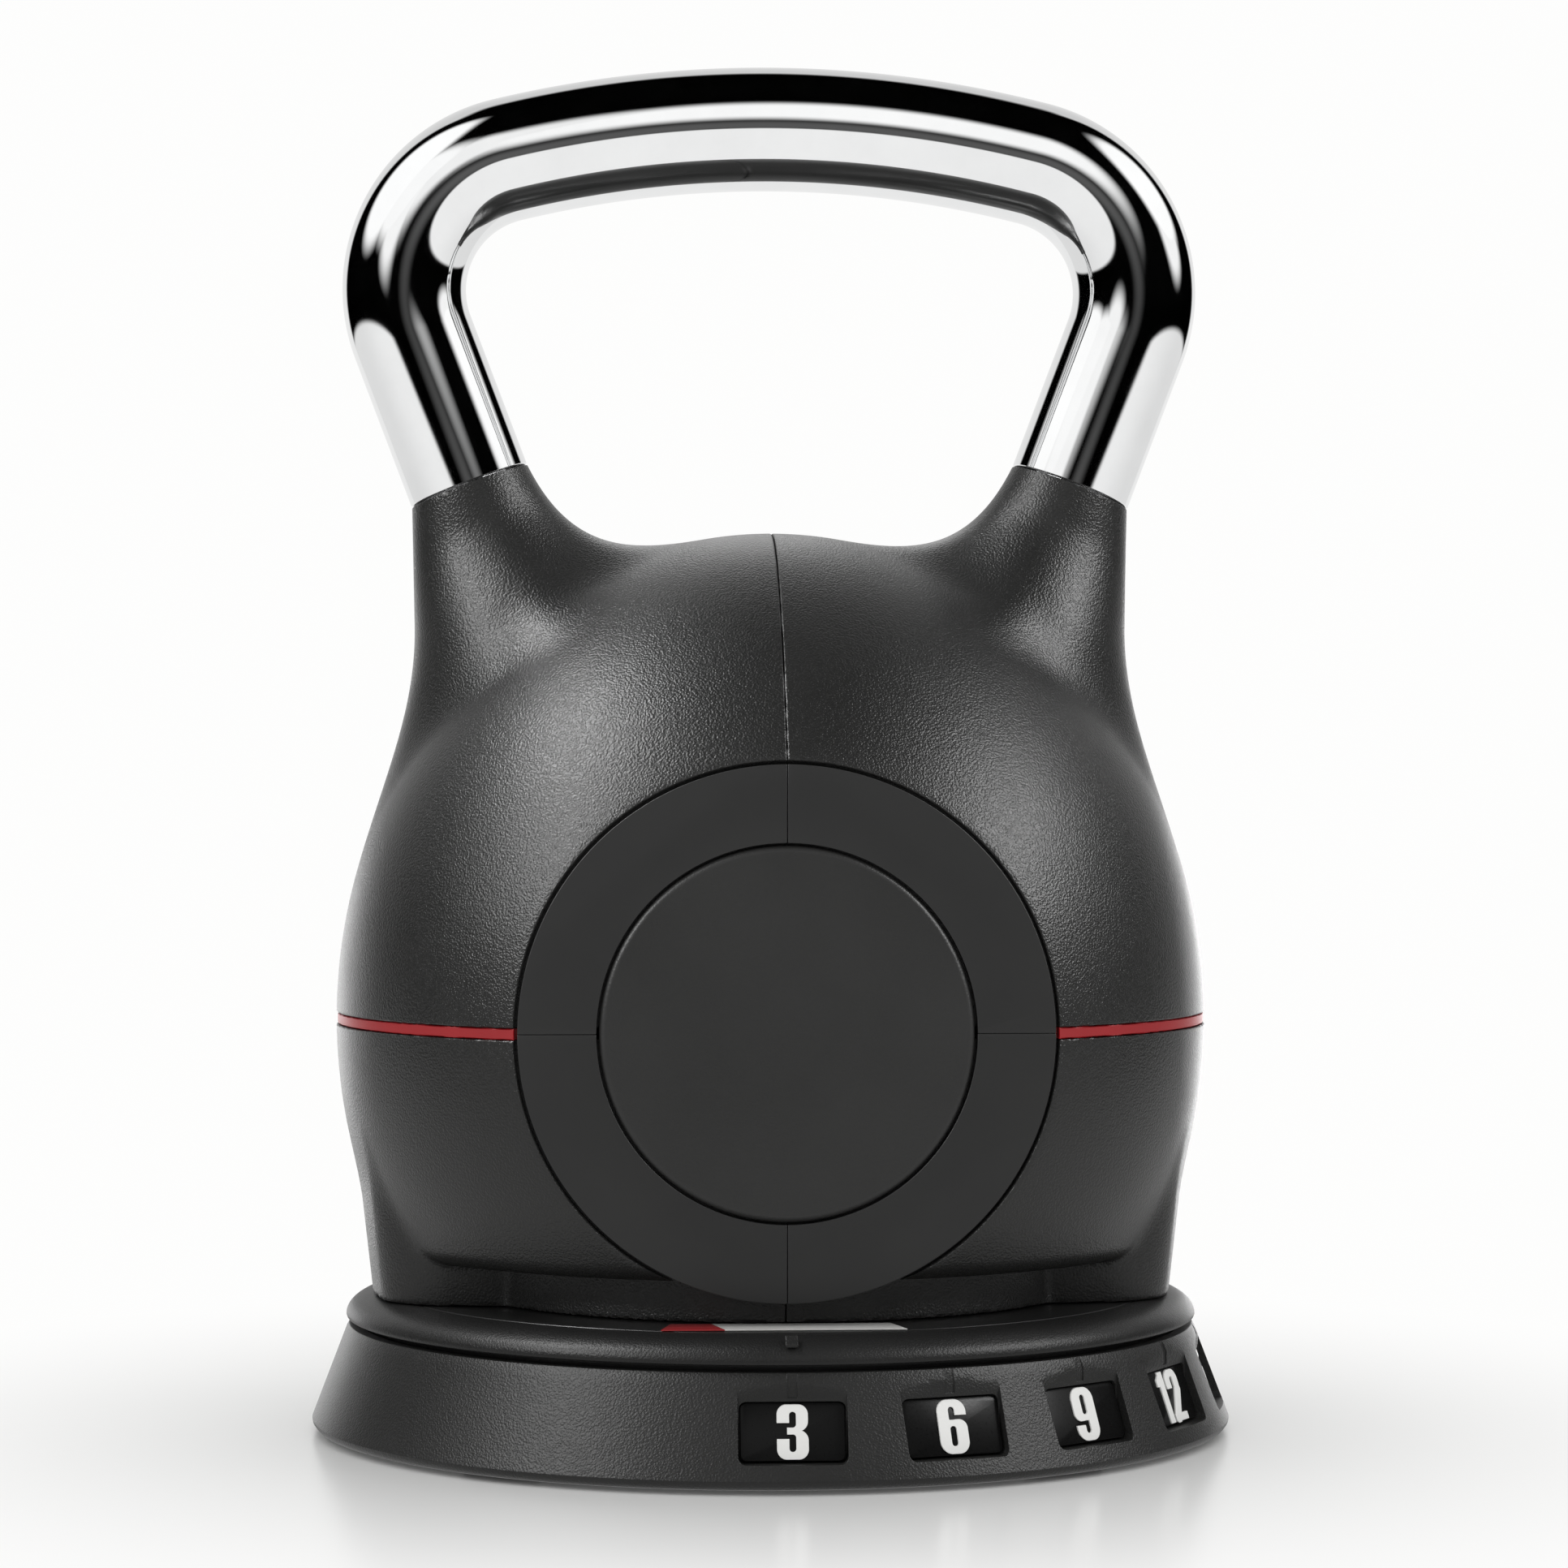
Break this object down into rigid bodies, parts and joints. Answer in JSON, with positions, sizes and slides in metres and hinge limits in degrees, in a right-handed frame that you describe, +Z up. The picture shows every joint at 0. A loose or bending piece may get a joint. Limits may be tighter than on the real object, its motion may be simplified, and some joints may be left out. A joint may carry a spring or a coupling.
{
  "type": "adjustable kettlebell on dock",
  "caption": "Adjustable kettlebell with a chrome tube handle, black moulded body and red trim, standing on a round dock whose numbered windows show the weight it is turned to.",
  "frame": {"origin": "centre of the dock on the surface it stands on", "axes": "+Z up along the turning axis, the round front face looks along -Y, +X to the viewer's right"},
  "size_m": [0.2246, 0.2246, 0.3338],
  "materials": {
    "shell_black": "fine leather-grain moulded plastic",
    "ring_black": "smooth satin moulded plastic",
    "chrome": "polished chrome plate",
    "trim_red": "satin red",
    "dock_black": "leather-grain moulded plastic",
    "tile_black": "flat black tile",
    "label_white": "white print",
    "plate_steel": "black phosphated steel",
    "steel": "turned",
    "frame_iron": "as cast",
    "bearing_plastic": "natural acetal",
    "rubber": "matt"
  },
  "bodies": {
    "dock": {"dock_housing": "dock_black", "dock_base_plate": "dock_black", "dock_post": "steel", "post_nut": "steel", "detent_spring": "steel", "base_screw_1": "steel", "base_screw_2": "steel", "base_screw_3": "steel", "base_screw_4": "steel", "number_tile_3": "tile_black", "number_tile_6": "tile_black", "number_tile_9": "tile_black", "number_tile_12": "tile_black", "number_tile_15": "tile_black", "slide_ring": "bearing_plastic", "rubber_foot_1": "rubber", "rubber_foot_2": "rubber", "rubber_foot_3": "rubber", "rubber_foot_4": "rubber"},
    "detent": {"detent_pin": "steel"},
    "turntable": {"turntable_deck": "dock_black", "turntable_rim": "dock_black", "pointer": "dock_black", "label_strip": "label_white", "retaining_clip": "steel"},
    "plate_1": {"weight_plate_1": "plate_steel"},
    "plate_2": {"weight_plate_2": "plate_steel"},
    "plate_3": {"weight_plate_3": "plate_steel"},
    "plate_4": {"weight_plate_4": "plate_steel"},
    "kettlebell": {"upper_shell_left": "shell_black", "upper_shell_right": "shell_black", "lower_shell_left": "shell_black", "lower_shell_right": "shell_black", "red_trim_left": "trim_red", "red_trim_right": "trim_red", "front_ring_upper_left": "ring_black", "front_ring_upper_right": "ring_black", "front_ring_lower_left": "ring_black", "front_ring_lower_right": "ring_black", "back_ring_upper_left": "ring_black", "back_ring_upper_right": "ring_black", "back_ring_lower_left": "ring_black", "back_ring_lower_right": "ring_black", "front_cap": "ring_black", "back_cap": "ring_black", "handle": "chrome", "handle_core_left": "steel", "handle_core_right": "steel", "handle_bolt_left": "steel", "handle_bolt_right": "steel", "cage_plate": "steel", "guide_rail_front": "steel", "guide_rail_back": "steel", "thrust_washer": "steel", "inner_frame": "frame_iron", "shaft_bush": "bearing_plastic"},
    "selector": {"selector_shaft": "steel", "shaft_nut": "steel"}
  },
  "joints": [
    {"name": "weight_select", "type": "hinge", "parent": "dock", "child": "turntable", "pos_m": [0, 0, 0.0336], "axis": [0, 0, 1], "range_deg": [0, 80], "deforming": ["detent_pin"]},
    {"name": "detent_press", "type": "slide", "parent": "dock", "child": "detent", "axis": [0, 0, 1], "range_m": [-0.0014, 0], "stiffness_N_per_m": 2000, "springref_m": 0.001, "deforming": ["detent_spring"]},
    {"name": "lift_with_four_plates", "type": "slide", "parent": "turntable", "child": "plate_4", "axis": [0, 0, 1], "range_m": [0, 0.2]},
    {"name": "lift_with_three_plates", "type": "slide", "parent": "plate_4", "child": "plate_3", "axis": [0, 0, 1], "range_m": [0, 0.2]},
    {"name": "lift_with_two_plates", "type": "slide", "parent": "plate_3", "child": "plate_2", "axis": [0, 0, 1], "range_m": [0, 0.2]},
    {"name": "lift_with_one_plate", "type": "slide", "parent": "plate_2", "child": "plate_1", "axis": [0, 0, 1], "range_m": [0, 0.2]},
    {"name": "lift_empty", "type": "slide", "parent": "plate_1", "child": "kettlebell", "axis": [0, 0, 1], "range_m": [0, 0.2]},
    {"name": "selector_turn", "type": "hinge", "parent": "kettlebell", "child": "selector", "pos_m": [0, 0, 0.1], "axis": [0, 0, 1], "range_deg": [-80, 0]}
  ],
  "couplings": [
    {"joint": "selector_turn", "follows": "weight_select", "ratio": -1}
  ]
}
